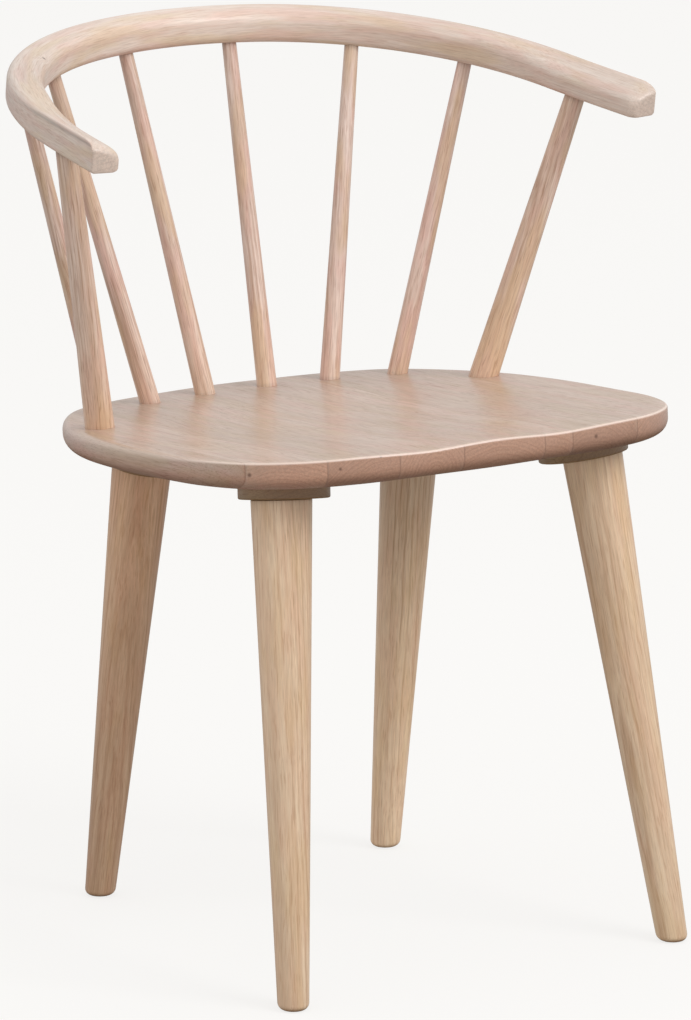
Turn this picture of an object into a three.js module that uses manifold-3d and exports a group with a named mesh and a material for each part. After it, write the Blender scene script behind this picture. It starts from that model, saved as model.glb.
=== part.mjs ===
// A low-backed wooden armchair: a dished seat glued up from boards, four turned legs on round blocks,
// and one bent arm bow carried by two posts and six spindles.
// Millimetres, +Z up. The chair faces -Y, and left and right are as seen from the front (-X is left).
import * as THREE from "three";
import { mergeVertices } from "three/addons/utils/BufferGeometryUtils.js";
import Module from "manifold-3d";

const wasm = await Module();
wasm.setup();

// ---------------------------------------------------------------- driving dimensions

const GAP = 0.3; // clearance round every glued or screwed-in piece

const SEAT_HEIGHT = 447.7; // top surface of the seat at y = 0
const SEAT_SLOPE = Math.atan(0.0766); // the seat falls towards the back
const SEAT_THICKNESS = 24;
// Right half of the seat's outline at its widest level, from the middle of the back to the front.
const SEAT_OUTLINE = [
  [0, 195],
  [58, 190],
  [117, 179],
  [164, 157],
  [200, 111],
  [226, 50],
  [238, -25],
  [238, -105],
  [232, -165],
  [212, -213],
  [174, -245],
  [124, -261],
  [62, -265],
  [0, -268],
];
const SEAT_CENTRE_Y = -45;
// Radius of the top edge: crisp along the front, softer from there round the sides and the back.
const SEAT_ARRIS = { front: 2.5, back: 8, from: -200, to: -60 };
const SEAT_BELLY = 10.5; // depth of the widest line below the top
const SEAT_UNDERCUT = 12; // how far the underside is drawn in by the round below it
const DISH_DEPTH = 4;
const DISH = { middle: -55, halfWidth: 190, halfLength: 175 };
const THIGH_HOLLOW = { depth: 2.6, x: 66, width: 40, reach: 150 };
// Between and around the thigh hollows the front edge stands proud.
const FRONT_RISE = { height: 1.4, halfWidth: 140 };
const BOARD_JOINTS = [-213, -158, -94, -32, 50, 79, 152];
const BEYOND = 300; // clear of the seat on every side

const BOW_UNDERSIDE = 693; // underside of the arm bow at y = 0
const BOW_SLOPE = Math.atan(0.1462); // the bow rises towards the back
const BOW_BACK_Y = 255.5; // centre line at the middle of the back, measured along the slope
// The bends of one half, from the middle of the back outwards: each radius and the length it is held for.
const BOW_BENDS = [
  { radius: 305, length: 80 },
  { radius: 236, length: 220 },
  { radius: 320, length: 80 },
];
const ARM_LENGTH = 113; // straight stretch at each end
// The bow curls up off its plane towards the arm ends, the left arm a little more than the right one.
const ARM_RISE = { left: 13.5, right: 8.5, over: 338 };
const ARM_BLEND = { before: 80, after: 40 }; // the arm's section takes over round the end of the bends
// The radii of the top's outer and inner edge and of both lower edges, and how far the top falls inwards.
const BOW_SECTION = { width: 32, height: 30, topOuter: 7, topInner: 11, lower: 9, fall: 0 };
const ARM_SECTION = { width: 27.4, height: 28.5, topOuter: 3, topInner: 11, lower: 3.5, fall: 7 };
const BOW_CROWN = 0.6; // the middle of the top stands this far above its edges
const BOW_END = { reach: 19, drop: 9.5, round: 3, levelling: 0.7 }; // the share of the fall that is lost
const BOW_STEPS = 76; // rings between the two rolled ends
const BOW_END_SHARES = [0, 0.4, 0.7, 0.9, 1]; // where the rings of a rolled end stand along its reach

// Right half: where each upright meets the seat and the underside of the bow, in plan.
const SPINDLES = [
  { foot: [32, 148], head: [53.5, 245] },
  { foot: [93, 140.5], head: [153.5, 199.5] },
  { foot: [152.5, 122], head: [224.5, 124] },
];
const SPINDLE_RADIUS = { foot: 8.9, head: 6.3 };
const POST = { foot: [197.5, 51], head: [259, 0] };
const POST_RADIUS = { foot: 12.8, head: 8.9 };
const TENON = { depth: 16, bevel: 0.8 }; // of the posts and spindles, in the seat and in the bow
const SOCKET_LEAD = 14; // the drill starts this far outside the wood

const LEG_RADIUS = { foot: 13.3, top: 26 };
const LEGS = [
  { name: "front", foot: [193.6, -253.7], splay: [34.9, -72.8] },
  { name: "back", foot: [149.8, 137.1], splay: [11.2, 59.2] },
];
const SPLAY_HEIGHT = 405.9; // height over which the splay is measured
const FOOT_ROUND = 4;
const BLOCK_RADIUS = 39;
const BLOCK_HEIGHT = 17;
const BLOCK_INSET = 7.5; // the block sits this far towards the middle of the seat
const BLOCK_CHAMFER = 1.2;
const LEG_CHAMFER = 1;

const BOLT = { radius: 4, inLeg: 40, inBlock: 13, point: 6 };
const INSERT = { radius: 6, length: 14 };
const SCREW = { radius: 2, headRadius: 4.2, headHeight: 3, length: 30, point: 5, offset: 17, skew: 4 };
const BORE_LEAD = 5; // the bores of the block start this far below it

// ---------------------------------------------------------------- materials

function wood(colour, roughness) {
  return new THREE.MeshStandardMaterial({ color: colour, roughness, metalness: 0 });
}

const SEAT_WOOD = wood(0xcbb49f, 0.4);
const BOW_WOOD = wood(0xdfcfc0, 0.45);
const SPINDLE_WOOD = wood(0xcdb29c, 0.45);
const LEG_WOOD = wood(0xc4aa8a, 0.45);
const BLOCK_WOOD = wood(0xa88a6a, 0.55);
const STEEL = new THREE.MeshStandardMaterial({ color: 0xb8b9bb, roughness: 0.35, metalness: 1 });

// ---------------------------------------------------------------- geometry helpers

const chair = new THREE.Group();

function addPiece(name, geometry, material) {
  const mesh = new THREE.Mesh(geometry, material);
  mesh.name = name;
  chair.add(mesh);
  return mesh;
}

// A closed skin over a list of rings of points, with a fan at each end.
function loft(rings) {
  const count = rings[0].length;
  const middleOf = (ring) => ring.reduce((sum, p) => sum.add(p), new THREE.Vector3()).divideScalar(count);
  const points = [...rings.flat(), middleOf(rings[0]), middleOf(rings.at(-1))];
  const index = [];
  for (let r = 0; r + 1 < rings.length; r++) {
    for (let i = 0; i < count; i++) {
      const a = r * count + i;
      const b = r * count + ((i + 1) % count);
      index.push(a, b, b + count, a, b + count, a + count);
    }
  }
  const last = (rings.length - 1) * count;
  for (let i = 0; i < count; i++) {
    const next = (i + 1) % count;
    index.push(points.length - 2, next, i);
    index.push(points.length - 1, last + i, last + next);
  }
  const geometry = new THREE.BufferGeometry().setFromPoints(points);
  geometry.setIndex(index);
  return geometry;
}

// A turned piece: [radius, height] pairs from the bottom to the top, spun round Z.
function turned(profile, sides) {
  const geometry = new THREE.LatheGeometry(profile.map(([r, z]) => new THREE.Vector2(r, z)), sides);
  return geometry.rotateX(Math.PI / 2);
}

function toSolid(geometry) {
  const bare = geometry.clone();
  bare.deleteAttribute("normal");
  bare.deleteAttribute("uv");
  const merged = mergeVertices(bare, 1e-4);
  return new wasm.Manifold(
    new wasm.Mesh({
      numProp: 3,
      vertProperties: merged.attributes.position.array,
      triVerts: new Uint32Array(merged.index.array),
    }),
  );
}

function toGeometry(solid) {
  const mesh = solid.getMesh();
  const geometry = new THREE.BufferGeometry();
  geometry.setAttribute("position", new THREE.BufferAttribute(mesh.vertProperties, 3));
  geometry.setIndex(new THREE.BufferAttribute(mesh.triVerts, 1));
  return geometry;
}

// The matrix that stands a piece's own Z axis along a line.
function standing(from, direction) {
  const turn = new THREE.Quaternion().setFromUnitVectors(new THREE.Vector3(0, 0, 1), direction);
  return new THREE.Matrix4().compose(from, turn, new THREE.Vector3(1, 1, 1));
}

// A round cutter from one point to another.
function drill(from, to, radius) {
  const length = from.distanceTo(to);
  const bit = new THREE.CylinderGeometry(radius, radius, length, 20);
  bit.rotateX(Math.PI / 2).translate(0, 0, length / 2);
  const direction = to.clone().sub(from).normalize();
  return toSolid(bit.applyMatrix4(standing(from, direction)));
}

function point(x, y, z) {
  return new THREE.Vector3(x, y, z);
}

// ---------------------------------------------------------------- the two sloping frames

const seatFrame = new THREE.Matrix4().makeRotationX(-SEAT_SLOPE).setPosition(0, 0, SEAT_HEIGHT);
const bowFrame = new THREE.Matrix4().makeRotationX(BOW_SLOPE).setPosition(0, 0, BOW_UNDERSIDE);

// The point of the seat's top plane, or of a plane below it, that stands over x, y on the floor.
function onSeat(x, y, below = 0) {
  return point(x, y, SEAT_HEIGHT - Math.tan(SEAT_SLOPE) * y - below / Math.cos(SEAT_SLOPE));
}

// ---------------------------------------------------------------- seat

const SEAT_SIDES = 80;

// The whole outline, counter-clockwise from above, as points with their outward directions.
function seatOutline() {
  const left = SEAT_OUTLINE.map(([x, y]) => point(-x, y, 0));
  const right = SEAT_OUTLINE.slice(1, -1).map(([x, y]) => point(x, y, 0));
  const curve = new THREE.CatmullRomCurve3([...left, ...right.reverse()], true, "centripetal");
  const spots = curve.getSpacedPoints(SEAT_SIDES).slice(0, SEAT_SIDES);
  return spots.map((spot, i) => {
    const before = spots[(i + SEAT_SIDES - 1) % SEAT_SIDES];
    const after = spots[(i + 1) % SEAT_SIDES];
    return { spot, outward: point(after.y - before.y, before.x - after.x, 0).normalize() };
  });
}

const SEAT_EDGE = seatOutline();

// How far the sitting surface lies below the flat seat: a shallow bowl, and a hollow for each thigh
// that runs out through the front edge.
function dish(x, y) {
  const bowl = Math.max(0, 1 - (x / DISH.halfWidth) ** 2 - ((y - DISH.middle) / DISH.halfLength) ** 2);
  const hollow = Math.exp(-(((Math.abs(x) - THIGH_HOLLOW.x) / THIGH_HOLLOW.width) ** 2));
  const rise = Math.exp(-((x / FRONT_RISE.halfWidth) ** 4));
  const front = SEAT_OUTLINE.at(-1)[1];
  const run = THREE.MathUtils.smoothstep(front + THIGH_HOLLOW.reach - y, 0, THIGH_HOLLOW.reach);
  const wave = (THIGH_HOLLOW.depth * hollow - FRONT_RISE.height * rise) * run;
  return DISH_DEPTH * THREE.MathUtils.smoothstep(bowl, 0, 1) + wave;
}

function arrisAt(y) {
  const back = THREE.MathUtils.smoothstep(y, SEAT_ARRIS.from, SEAT_ARRIS.to);
  return THREE.MathUtils.lerp(SEAT_ARRIS.front, SEAT_ARRIS.back, back);
}

// The outline drawn in by a distance, then shrunk towards the middle of the seat.
function seatRing(insetAt, shrink = 0) {
  const middle = point(0, SEAT_CENTRE_Y, 0);
  return SEAT_EDGE.map(({ spot, outward }) =>
    spot.clone().addScaledVector(outward, -insetAt(spot.y)).lerp(middle, shrink),
  );
}

function seatBlank() {
  const rings = [];
  const under = SEAT_THICKNESS - SEAT_BELLY;
  for (const share of [1, 0.75, 0.5, 0.25, 0]) {
    const turn = (share * Math.PI) / 2;
    const ring = seatRing(() => SEAT_UNDERCUT * (1 - Math.cos(turn)));
    rings.push(ring.map(({ x, y }) => point(x, y, -SEAT_BELLY - under * Math.sin(turn))));
  }
  for (const share of [0, 0.33, 0.67, 1]) {
    const turn = (share * Math.PI) / 2;
    const ring = seatRing((y) => arrisAt(y) * (1 - Math.cos(turn)));
    const drop = ring.map((_, i) => arrisAt(SEAT_EDGE[i].spot.y) * (1 - Math.sin(turn)));
    rings.push(ring.map(({ x, y }, i) => point(x, y, -drop[i] - dish(x, y))));
  }
  for (const shrink of [0.08, 0.22, 0.4, 0.6, 0.8]) {
    rings.push(seatRing(arrisAt, shrink).map(({ x, y }) => point(x, y, -dish(x, y))));
  }
  return loft(rings).applyMatrix4(seatFrame);
}

// ---------------------------------------------------------------- arm bow

const BENT_LENGTH = BOW_BENDS.reduce((sum, { length }) => sum + length, 0);
const HALF_BOW = BENT_LENGTH + ARM_LENGTH;

function armRise(y, side) {
  return (side < 0 ? ARM_RISE.left : ARM_RISE.right) * ((BOW_BACK_Y - y) / ARM_RISE.over) ** 2;
}

// The bow's centre line in its own sloping plane, by the distance from the middle of the back.
function bowCentre(distance) {
  const side = distance < 0 ? -1 : 1;
  const spot = point(0, BOW_BACK_Y, 0);
  let heading = 0;
  let left = Math.abs(distance);
  for (const { radius, length } of BOW_BENDS) {
    const next = heading + Math.min(left, length) / radius;
    spot.x += radius * (Math.sin(next) - Math.sin(heading));
    spot.y += radius * (Math.cos(next) - Math.cos(heading));
    heading = next;
    left = Math.max(left - length, 0);
  }
  spot.x = side * (spot.x + left * Math.cos(heading));
  spot.y -= left * Math.sin(heading);
  spot.z = armRise(spot.y, side);
  return { centre: spot, outward: point(side * Math.sin(heading), Math.cos(heading), 0) };
}

// One rounded corner of the bow's section, as [outward, up] pairs.
function corner(x, z, radius, from, to, steps) {
  const pairs = [];
  for (let i = 0; i <= steps; i++) {
    const turn = from + ((to - from) * i) / steps;
    pairs.push([x + radius * Math.cos(turn), z + radius * Math.sin(turn)]);
  }
  return pairs;
}

// The section: a tighter outer top edge, a broad round on the inner one, and a slightly crowned
// top that touches both.
function sectionOutline({ width, height, topOuter, topInner, lower, fall }) {
  const half = width / 2;
  const right = Math.PI / 2;
  const top = height - BOW_CROWN;
  const flat = width - topOuter - topInner;
  const more = topInner - topOuter;
  const lean = right + Math.acos(more / Math.hypot(flat, fall + more)) - Math.atan2(flat, fall + more);
  const outer = corner(half - topOuter, top - topOuter, topOuter, 0, lean, 3);
  const inner = corner(-half + topInner, top - fall - topInner, topInner, lean, 2 * right, 4);
  const [a, b] = [outer.at(-1), inner[0]];
  return [
    ...corner(half - lower, lower, lower, -right, 0, 3),
    ...outer,
    [(a[0] + b[0]) / 2, (a[1] + b[1]) / 2 + BOW_CROWN],
    ...inner,
    ...corner(-half + lower, lower, lower, 2 * right, 3 * right, 3),
  ];
}

// The section at a distance from the middle of the back: the bow gets slimmer and crisper along the arms.
function bowSection(distance) {
  const { before, after } = ARM_BLEND;
  const arm = THREE.MathUtils.smoothstep(Math.abs(distance), BENT_LENGTH - before, BENT_LENGTH + after);
  const section = {};
  for (const key of Object.keys(BOW_SECTION)) {
    section[key] = THREE.MathUtils.lerp(BOW_SECTION[key], ARM_SECTION[key], arm);
  }
  return section;
}

function bowRing(distance, section) {
  const { centre, outward } = bowCentre(distance);
  return sectionOutline(section).map(([out, up]) => {
    const place = centre.clone().addScaledVector(outward, out);
    place.z += up;
    return place.applyMatrix4(bowFrame);
  });
}

// The rings that close one end: the top rolls over and the sides draw in a little.
function bowEndRings(side) {
  return BOW_END_SHARES.map((share) => {
    const distance = HALF_BOW - BOW_END.reach * (1 - share);
    const section = bowSection(distance);
    const roll = 1 - Math.sqrt(1 - share ** 2);
    section.height -= BOW_END.drop * roll;
    section.fall *= 1 - BOW_END.levelling * roll;
    section.width -= share < 1 ? 0 : BOW_END.round;
    return bowRing(side * distance, section);
  });
}

function bowBlank() {
  const plain = HALF_BOW - BOW_END.reach;
  const rings = bowEndRings(-1).reverse();
  for (let i = 1; i < BOW_STEPS; i++) {
    const distance = plain * ((2 * i) / BOW_STEPS - 1);
    rings.push(bowRing(distance, bowSection(distance)));
  }
  rings.push(...bowEndRings(1));
  return loft(rings);
}

// ---------------------------------------------------------------- posts and spindles

function upright(name, side, { foot, head }, radius) {
  const base = onSeat(side * foot[0], foot[1], dish(foot[0], foot[1]));
  const height = BOW_UNDERSIDE + Math.tan(BOW_SLOPE) * head[1] + armRise(head[1], side);
  const top = point(side * head[0], head[1], height);
  const direction = top.clone().sub(base).normalize();
  return { name, base, top, direction, radius, length: base.distanceTo(top) };
}

function uprights() {
  const list = [];
  const count = SPINDLES.length;
  for (const side of [-1, 1]) {
    list.push(upright(`arm_post_${side < 0 ? "left" : "right"}`, side, POST, POST_RADIUS));
    SPINDLES.forEach((spindle, i) => {
      const number = side < 0 ? count - i : count + 1 + i;
      list.push(upright(`back_spindle_${number}`, side, spindle, SPINDLE_RADIUS));
    });
  }
  return list;
}

// The tenons are straight, so the sockets are plain round holes.
function addUpright({ name, base, direction, radius, length }) {
  const { depth, bevel } = TENON;
  const profile = [
    [0, -depth],
    [radius.foot - bevel, -depth],
    [radius.foot, -depth + bevel],
    [radius.foot, 0],
    [(radius.foot + radius.head) / 2, length / 2],
    [radius.head, length],
    [radius.head, length + depth - bevel],
    [radius.head - bevel, length + depth],
    [0, length + depth],
  ];
  const mesh = addPiece(name, turned(profile, 20), SPINDLE_WOOD);
  mesh.applyMatrix4(standing(base, direction));
}

function footSocket({ base, direction, radius }) {
  const mouth = base.clone().addScaledVector(direction, SOCKET_LEAD);
  const floor = base.clone().addScaledVector(direction, -TENON.depth - GAP);
  return drill(floor, mouth, radius.foot + GAP);
}

function headSocket({ top, direction, radius }) {
  const mouth = top.clone().addScaledVector(direction, -SOCKET_LEAD);
  const floor = top.clone().addScaledVector(direction, TENON.depth + GAP);
  return drill(mouth, floor, radius.head + GAP);
}

// ---------------------------------------------------------------- legs, blocks and their fixings

function legFrame({ name, foot, splay }, side) {
  const floor = point(side * foot[0], foot[1], 0);
  const axis = point(-side * splay[0], -splay[1], SPLAY_HEIGHT).normalize();
  const under = onSeat(0, 0, SEAT_THICKNESS).z;
  const reach = (under - Math.tan(SEAT_SLOPE) * floor.y) / (axis.z + Math.tan(SEAT_SLOPE) * axis.y);
  const top = floor.clone().addScaledVector(axis, reach - BLOCK_HEIGHT);
  const inward = point(-top.x, SEAT_CENTRE_Y - top.y, 0);
  inward.addScaledVector(axis, -inward.dot(axis)).normalize();
  const across = axis.clone().cross(inward);
  return { label: `${name}_${side < 0 ? "left" : "right"}`, floor, axis, top, inward, across };
}

// A ring round the leg's axis. On a level plane the ring is drawn out to keep the leg round.
function legRing({ floor, axis }, height, radius, level) {
  const ring = [];
  const u = point(1, 0, 0).addScaledVector(axis, -axis.x).normalize();
  const v = axis.clone().cross(u);
  for (let i = 0; i < 32; i++) {
    const turn = (i / 32) * 2 * Math.PI;
    const spot = floor.clone().addScaledVector(axis, height / axis.z);
    spot.addScaledVector(u, radius * Math.cos(turn)).addScaledVector(v, radius * Math.sin(turn));
    if (level) spot.addScaledVector(axis, (height - spot.z) / axis.z);
    ring.push(spot);
  }
  return ring;
}

function legGeometry(frame) {
  const boltHole = BOLT.radius + GAP;
  const topHeight = frame.top.z - GAP * frame.axis.z;
  const radiusAt = (z) => THREE.MathUtils.lerp(LEG_RADIUS.foot, LEG_RADIUS.top, z / topHeight);
  const rings = [];
  for (const share of [0, 0.5, 1]) {
    const turn = (share * Math.PI) / 2;
    const inset = FOOT_ROUND * (1 - Math.sin(turn));
    const z = FOOT_ROUND * (1 - Math.cos(turn));
    rings.push(legRing(frame, z, radiusAt(z) - inset, true));
  }
  rings.push(legRing(frame, topHeight / 3, radiusAt(topHeight / 3), false));
  rings.push(legRing(frame, (topHeight * 2) / 3, radiusAt((topHeight * 2) / 3), false));
  rings.push(legRing(frame, topHeight - LEG_CHAMFER, LEG_RADIUS.top, false));
  rings.push(legRing(frame, topHeight, LEG_RADIUS.top - LEG_CHAMFER, false));
  rings.push(legRing(frame, topHeight, boltHole, false));
  rings.push(legRing(frame, topHeight - BOLT.inLeg - GAP, boltHole, false));
  return loft(rings);
}

function screwSpots({ top, across, inward }) {
  return [-1, 1].map((hand) =>
    top.clone().addScaledVector(across, hand * SCREW.offset).addScaledVector(inward, hand * SCREW.skew),
  );
}

function screwProfile(grow) {
  return [
    [0, -grow],
    [SCREW.headRadius + grow, -grow],
    [SCREW.radius + grow, SCREW.headHeight + grow],
    [SCREW.radius + grow, SCREW.length - SCREW.point],
    [0, SCREW.length + grow],
  ];
}

function screwCutter(spot, axis) {
  return toSolid(turned(screwProfile(GAP), 12).applyMatrix4(standing(spot, axis)));
}

// A round block whose top is cut to the slope of the seat and whose underside is square to the leg.
function blockGeometry(frame) {
  const { top, axis, inward, across } = frame;
  const centre = top.clone().addScaledVector(inward, BLOCK_INSET);
  const profile = [
    [0, 0],
    [BLOCK_RADIUS - BLOCK_CHAMFER, 0],
    [BLOCK_RADIUS, BLOCK_CHAMFER],
    [BLOCK_RADIUS, 2 * BLOCK_HEIGHT],
    [0, 2 * BLOCK_HEIGHT],
  ];
  let solid = toSolid(turned(profile, 44).applyMatrix4(standing(centre, axis)));
  const above = new THREE.BoxGeometry(2 * BEYOND, 2 * BEYOND, BEYOND);
  above.translate(0, 0, BEYOND / 2 - SEAT_THICKNESS - GAP).applyMatrix4(seatFrame);
  solid = solid.subtract(toSolid(above));
  const insertEnd = top.clone().addScaledVector(axis, INSERT.length + GAP);
  const start = top.clone().addScaledVector(axis, -BORE_LEAD);
  solid = solid.subtract(drill(start, insertEnd, INSERT.radius + GAP));
  for (const spot of screwSpots({ top, across, inward })) {
    solid = solid.subtract(screwCutter(spot, axis));
    const entry = spot.clone().addScaledVector(axis, -BORE_LEAD);
    solid = solid.subtract(drill(entry, spot, SCREW.headRadius + GAP));
  }
  return toGeometry(solid);
}

function addLeg(frame) {
  const { label, top, axis } = frame;
  addPiece(`leg_${label}`, legGeometry(frame), LEG_WOOD);
  addPiece(`leg_block_${label}`, blockGeometry(frame), BLOCK_WOOD);

  const boltProfile = [
    [0, -BOLT.inLeg],
    [BOLT.radius, -BOLT.inLeg + BOLT.point],
    [BOLT.radius, BOLT.inBlock - 1],
    [BOLT.radius - 1, BOLT.inBlock],
    [0, BOLT.inBlock],
  ];
  addPiece(`hanger_bolt_${label}`, turned(boltProfile, 16), STEEL).applyMatrix4(standing(top, axis));

  const bore = BOLT.radius + GAP;
  const insertProfile = [
    [bore, 0],
    [INSERT.radius, 0],
    [INSERT.radius, INSERT.length],
    [bore, INSERT.length],
    [bore, 0],
  ];
  addPiece(`threaded_insert_${label}`, turned(insertProfile, 20), STEEL).applyMatrix4(standing(top, axis));

  screwSpots(frame).forEach((spot, i) => {
    const screw = addPiece(`block_screw_${label}_${i + 1}`, turned(screwProfile(0), 12), STEEL);
    screw.applyMatrix4(standing(spot, axis));
  });
}

// ---------------------------------------------------------------- assembly

const sticks = uprights();
sticks.forEach(addUpright);

const legFrames = [];
for (const leg of LEGS) {
  for (const side of [-1, 1]) legFrames.push(legFrame(leg, side));
}
legFrames.forEach(addLeg);

let bow = toSolid(bowBlank());
for (const stick of sticks) bow = bow.subtract(headSocket(stick));
addPiece("arm_bow", toGeometry(bow), BOW_WOOD);

let seat = toSolid(seatBlank());
for (const stick of sticks) seat = seat.subtract(footSocket(stick));
for (const frame of legFrames) {
  for (const spot of screwSpots(frame)) seat = seat.subtract(screwCutter(spot, frame.axis));
}
const boardEdges = [-BEYOND, ...BOARD_JOINTS, BEYOND];
for (let i = 0; i + 1 < boardEdges.length; i++) {
  const width = boardEdges[i + 1] - boardEdges[i];
  const slab = new THREE.BoxGeometry(width, 2 * BEYOND, BEYOND);
  slab.translate(boardEdges[i] + width / 2, 0, SEAT_HEIGHT);
  addPiece(`seat_board_${i + 1}`, toGeometry(seat.intersect(toSolid(slab))), SEAT_WOOD);
}

export default chair;
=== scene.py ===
"""The looks of the wooden armchair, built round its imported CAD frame. Blender 4.5, metres, +Z up."""

import math

import bmesh
import bpy
import numpy as np
from mathutils import Matrix, Vector


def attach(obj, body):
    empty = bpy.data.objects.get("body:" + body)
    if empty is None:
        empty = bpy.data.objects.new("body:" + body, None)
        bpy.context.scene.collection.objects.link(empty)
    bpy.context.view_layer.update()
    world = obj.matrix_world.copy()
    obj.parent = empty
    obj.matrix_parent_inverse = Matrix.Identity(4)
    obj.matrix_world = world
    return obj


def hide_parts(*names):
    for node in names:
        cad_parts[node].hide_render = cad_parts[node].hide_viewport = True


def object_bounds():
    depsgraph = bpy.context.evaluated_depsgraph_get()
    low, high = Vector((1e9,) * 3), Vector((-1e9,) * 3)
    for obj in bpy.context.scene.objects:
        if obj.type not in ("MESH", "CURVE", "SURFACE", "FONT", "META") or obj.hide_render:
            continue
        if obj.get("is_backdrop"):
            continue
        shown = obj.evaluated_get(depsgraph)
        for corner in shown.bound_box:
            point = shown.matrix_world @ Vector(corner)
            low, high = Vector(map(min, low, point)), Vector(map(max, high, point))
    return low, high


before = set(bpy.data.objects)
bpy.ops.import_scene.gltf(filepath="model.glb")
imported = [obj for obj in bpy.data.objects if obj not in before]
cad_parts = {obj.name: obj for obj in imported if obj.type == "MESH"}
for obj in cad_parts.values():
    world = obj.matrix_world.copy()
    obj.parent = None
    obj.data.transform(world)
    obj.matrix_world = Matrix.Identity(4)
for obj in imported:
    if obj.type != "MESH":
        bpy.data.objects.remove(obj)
cad_low, cad_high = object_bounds()

MM = 0.001
QUARTER_TURN = math.pi / 2
ON_FACE = 0.05  # mm within which a point counts as lying on a flat face
ON_PLANE = 1e-7  # m within which a cutting plane takes up a point

# ---------------------------------------------------------------- dimensions, in mm

GAP = 0.15  # a glued joint's clearance
TENON, TENON_BEVEL, BEVEL_STEPS = 16, 0.8, 4
STICKS = [f"back_spindle_{i}" for i in range(1, 7)] + ["arm_post_left", "arm_post_right"]
STICK_SIDES = 72
LOW_STOPS, HIGH_STOPS = (1, 2.5), (6, 4.5, 3, 1.5, 0)  # a stick's rings above the seat and below the bow
STOP_MARGIN, MIDDLE_STOPS = 10, 9
SOCKET_OVERRUN = 14  # how far a socket's cutter stands out of its piece

SEAT_HEIGHT = 447.7
SEAT_SLOPE = math.atan(0.0766)
SEAT_THICKNESS = 24
SEAT_OUTLINE = [
    (0, 195), (58, 190), (117, 179), (164, 157), (200, 111), (226, 50), (238, -25),
    (238, -105), (232, -165), (212, -213), (174, -245), (124, -261), (62, -265), (0, -268),
]
SEAT_SIDES = 300
SEAT_REACH = 300  # past the seat's widest point
SEAT_CENTRE_Y = -45
BELLY_STEPS, ARRIS_STEPS = 13, 12
SEAT_SHRINKS = np.linspace(0, 0.97, 34)[1:]  # the top's rings, as shares of the way to the centre
ARRIS_FRONT, ARRIS_BACK, ARRIS_FROM, ARRIS_TO = 2.5, 8, -200, -60
SEAT_BELLY = 10.5
SEAT_UNDERCUT = 12
DISH_DEPTH = 4
DISH_REACH = (190, 175)
DISH_MIDDLE_Y = -55
HOLLOW_DEPTH, HOLLOW_X, HOLLOW_WIDTH, HOLLOW_REACH = 2.6, 66, 40, 150
FRONT_RISE, FRONT_RISE_WIDTH = 1.4, 140
BOARD_JOINTS = [-213, -158, -94, -32, 50, 79, 152]
BOARD_SETBACK = 0.04  # from a joint's middle to a board's side
BOARD_MARGIN = 2  # how near a board a socket's cutter has to come to be cut out of it

BOW_UNDERSIDE = 693
BOW_SLOPE = math.atan(0.1462)
BOW_BACK_Y = 255.5
BOW_BENDS = [(305, 80), (236, 220), (320, 80)]
ARM_LENGTH = 113
ARM_RISE_LEFT, ARM_RISE_RIGHT, ARM_RISE_OVER = 13.5, 8.5, 338
BOW_SECTION = {"width": 32, "height": 30, "top_outer": 7, "top_inner": 11, "lower": 9, "fall": 0}
ARM_SECTION = {"width": 27.4, "height": 28.5, "top_outer": 1.3, "top_inner": 11, "lower": 3.5, "fall": 7}
ARM_BEFORE, ARM_AFTER = 80, 40  # how far before and after the last bend's end the section changes
BOW_END_REACH, BOW_END_DROP, BOW_END_LEVELLING = 19, 9.5, 0.7
BOW_END_OUTER, BOW_END_INNER, BOW_END_LOWER = 2.0, 8, 1.2
BOW_END_LEAST_WIDTH = 2.5  # of the section, in lower radii
BOW_END_STEPS, BOW_MIDDLE_STEPS, BOW_LINE_STEPS = 22, 241, 1201
BOW_BATCHES = 40  # the bow's points are placed along its line in so many parts, to save memory
SIDE_DROPS = (7, 4, 3, 2, 1)  # extra points down the outer side, for the shade under the arm's arris
CROWN, CROWN_SHARES = 0.6, (0.2, 0.4, 0.6, 0.8)

LEG_SIDES = 96
FOOT_ROUND, FOOT_STEPS = 6, 9
FOOT_SIDE = (3.6, 8)  # where along a leg its lower radius is measured
FOOT_INSET = 0.1
SHAFT_FROM, SHAFT_TO, SHAFT_STEPS, SHAFT_STOPS = 20, 12, 10, (6, 3, 1)
LEG_TOP_ROUND, LEG_TOP_STEPS, LEG_TOP_SIDE = 1.0, 5, 3
BORE_RADIUS, BORE_DEPTH = 4.3, 40.3
BLOCK_ROUND, BLOCK_STEPS = 1.6, 9
BLOCK_RIM_DEPTH, BLOCK_RIM_INNER = 1.3, 28  # the block's own points that give its lower rim
BLOCK_STOPS = (8, 14, 60)
BLOCK_CLEARANCE = 0.3  # under the seat
INSERT_RADIUS, INSERT_DEPTH, INSERT_SIDES = 6.3, 14.3, 48
SCREW_HEAD_RADIUS, SCREW_HEAD_DEPTH, SCREW_RADIUS, SCREW_REACH, SCREW_SIDES = 4.5, 3.1, 2.3, 40, 40
CUTTER_START = -5
WOOD_ANGLE, FIXING_ANGLE = 38, 30  # degrees from which an edge shows as sharp

# ---------------------------------------------------------------- mesh helpers


def new_object(name, data):
    piece = bpy.data.objects.new(name, data)
    bpy.context.scene.collection.objects.link(piece)
    return piece


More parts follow.
